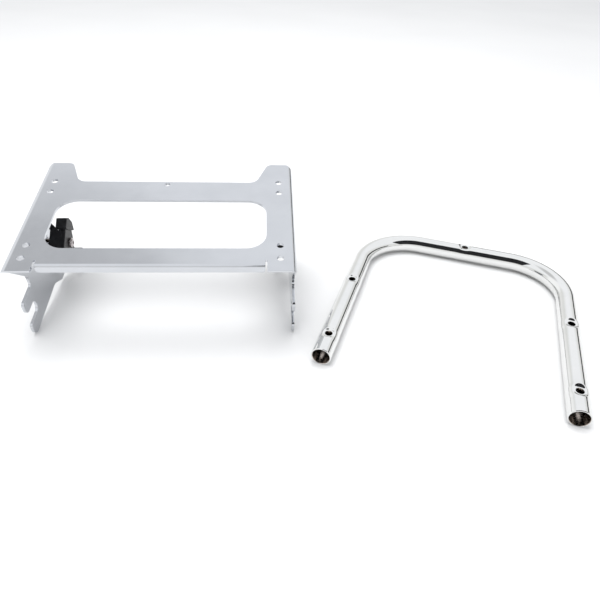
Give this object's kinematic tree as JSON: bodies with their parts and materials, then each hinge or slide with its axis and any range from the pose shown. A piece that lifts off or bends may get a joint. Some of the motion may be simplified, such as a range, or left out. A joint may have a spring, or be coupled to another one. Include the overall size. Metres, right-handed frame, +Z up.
{
  "type": "motorcycle trunk rack",
  "caption": "Folded chrome trunk rack plate with docking slots and sprung latches, laid beside the bent chrome support tube that bolts on with it.",
  "frame": {"origin": "centre of the bounding box, on the ground", "axes": "+X along the front edge of the rack plate towards the tube, +Y towards the rear of the rack, +Z up"},
  "size_m": [0.6448, 0.337, 0.1355],
  "materials": {
    "plate_chrome": "bright nickel-chrome plate on folded sheet",
    "tube_chrome": "mirror chrome plate on bent tube",
    "latch_black": "satin black powder coat",
    "thumb_cap": "matte black dipped grip",
    "bush_bronze": "plain bronze bush",
    "washer_steel": "zinc plated",
    "bolt_steel": "zinc plated",
    "nut_steel": "chrome plated",
    "spring_steel": "drawn spring wire",
    "pin_steel": "chrome plated"
  },
  "bodies": {
    "rack": {"rack_plate": "plate_chrome", "support_tube": "tube_chrome", "latch_bush_left": "bush_bronze", "latch_washer_left": "washer_steel", "latch_pivot_bolt_left": "bolt_steel", "latch_nut_left": "nut_steel", "latch_spring_left": "spring_steel", "latch_stop_pin_left": "pin_steel", "latch_bush_right": "bush_bronze", "latch_washer_right": "washer_steel", "latch_pivot_bolt_right": "bolt_steel", "latch_nut_right": "nut_steel", "latch_spring_right": "spring_steel", "latch_stop_pin_right": "pin_steel"},
    "latch_left": {"latch_lever_left": "latch_black", "latch_thumb_cap_left": "thumb_cap"},
    "latch_right": {"latch_lever_right": "latch_black", "latch_thumb_cap_right": "thumb_cap"}
  },
  "joints": [
    {"name": "latch_left_turn", "type": "hinge", "parent": "rack", "child": "latch_left", "pos_m": [-0.29836, 0.08085, 0.05721], "axis": [1, 0, 0], "range_deg": [0, 30], "stiffness_Nm_per_rad": 0.12, "springref_deg": -22.92, "deforming": ["latch_spring_left"]},
    {"name": "latch_right_turn", "type": "hinge", "parent": "rack", "child": "latch_right", "pos_m": [-0.05136, 0.08085, 0.05721], "axis": [1, 0, 0], "range_deg": [0, 30], "stiffness_Nm_per_rad": 0.12, "springref_deg": -22.92, "deforming": ["latch_spring_right"]}
  ]
}
